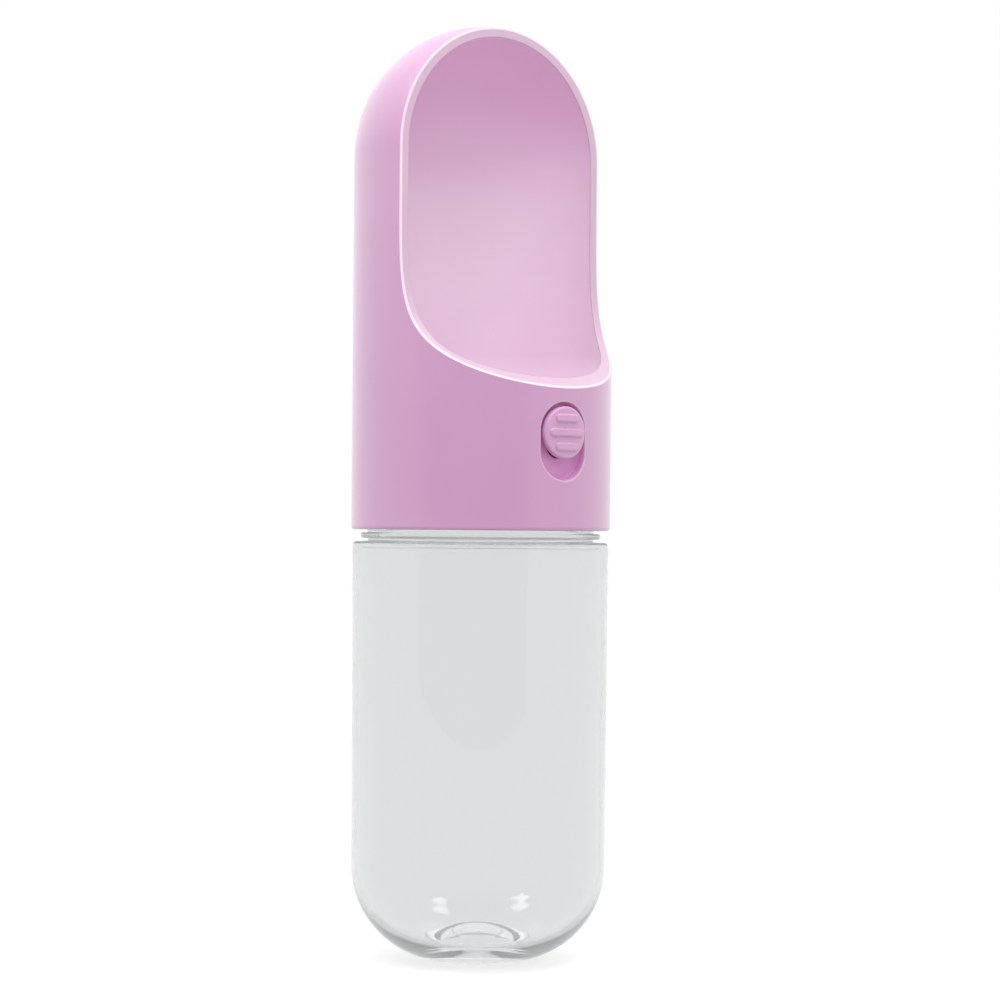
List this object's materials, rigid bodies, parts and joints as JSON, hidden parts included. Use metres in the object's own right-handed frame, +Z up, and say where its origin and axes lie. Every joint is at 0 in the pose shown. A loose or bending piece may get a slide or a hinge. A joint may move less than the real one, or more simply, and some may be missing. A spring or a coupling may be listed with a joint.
{
  "type": "dog travel water bottle",
  "caption": "Clear round-based water bottle under a screwed-on hood-shaped drinking trough, with a sliding lock and a push button that opens a sprung valve.",
  "frame": {"origin": "middle of the bottle's base, on the surface it stands on", "axes": "+Z up along the bottle's axis, the drinking opening and its button face -Y, +X to the right seen from the front"},
  "size_m": [0.067, 0.0682, 0.2407],
  "materials": {
    "clear_wall": "clear moulded plastic, slightly grey",
    "pink_shell": "satin moulded plastic, pale orchid pink",
    "pink_button": "satin moulded plastic, a little deeper pink",
    "inner_plastic": "moulded plastic, milky white",
    "soft_seal": "soft silicone, milky",
    "steel": "stainless steel, satin"
  },
  "bodies": {
    "bottle": {"bottle": "clear_wall"},
    "gasket": {"neck_gasket": "soft_seal"},
    "head": {"head_shell": "pink_shell", "threaded_collar": "pink_shell", "inlet_screen": "steel", "inlet_seal": "soft_seal", "valve_housing": "inner_plastic", "gland_cap": "inner_plastic", "rod_seal": "soft_seal", "end_plug": "inner_plastic", "plug_seal": "soft_seal", "outlet_seal": "soft_seal", "housing_screws": "steel", "slider_retainer": "inner_plastic", "retainer_screws": "steel", "strap_pin": "steel", "air_valve": "soft_seal"},
    "lock": {"lock_slider": "inner_plastic"},
    "button": {"button_cap": "pink_button", "button_spring": "steel", "stem_clip": "steel"},
    "valve": {"valve_rod": "steel", "push_pad": "inner_plastic", "valve_plug": "soft_seal", "valve_spring": "steel"}
  },
  "joints": [
    {"name": "head_rise", "type": "slide", "parent": "bottle", "child": "gasket", "axis": [0, 0, 1], "range_m": [0, 0.0064]},
    {"name": "head_unscrew", "type": "hinge", "parent": "gasket", "child": "head", "pos_m": [0, 0, 0.1192], "axis": [0, 0, 1], "range_deg": [0, 720]},
    {"name": "lock_slide", "type": "slide", "parent": "head", "child": "lock", "axis": [0, 0, -1], "range_m": [0, 0.0052]},
    {"name": "button_press", "type": "slide", "parent": "lock", "child": "button", "axis": [0, 1, 0], "range_m": [0, 0.002], "stiffness_N_per_m": 600, "springref_m": -0.001, "deforming": ["button_spring"]},
    {"name": "valve_open", "type": "slide", "parent": "head", "child": "valve", "axis": [0, 1, 0], "range_m": [0, 0.002], "deforming": ["valve_spring"]}
  ],
  "couplings": [
    {"joint": "head_rise", "follows": "head_unscrew", "m_per_rad": 0.000509},
    {"joint": "valve_open", "follows": "button_press", "ratio": 1}
  ]
}
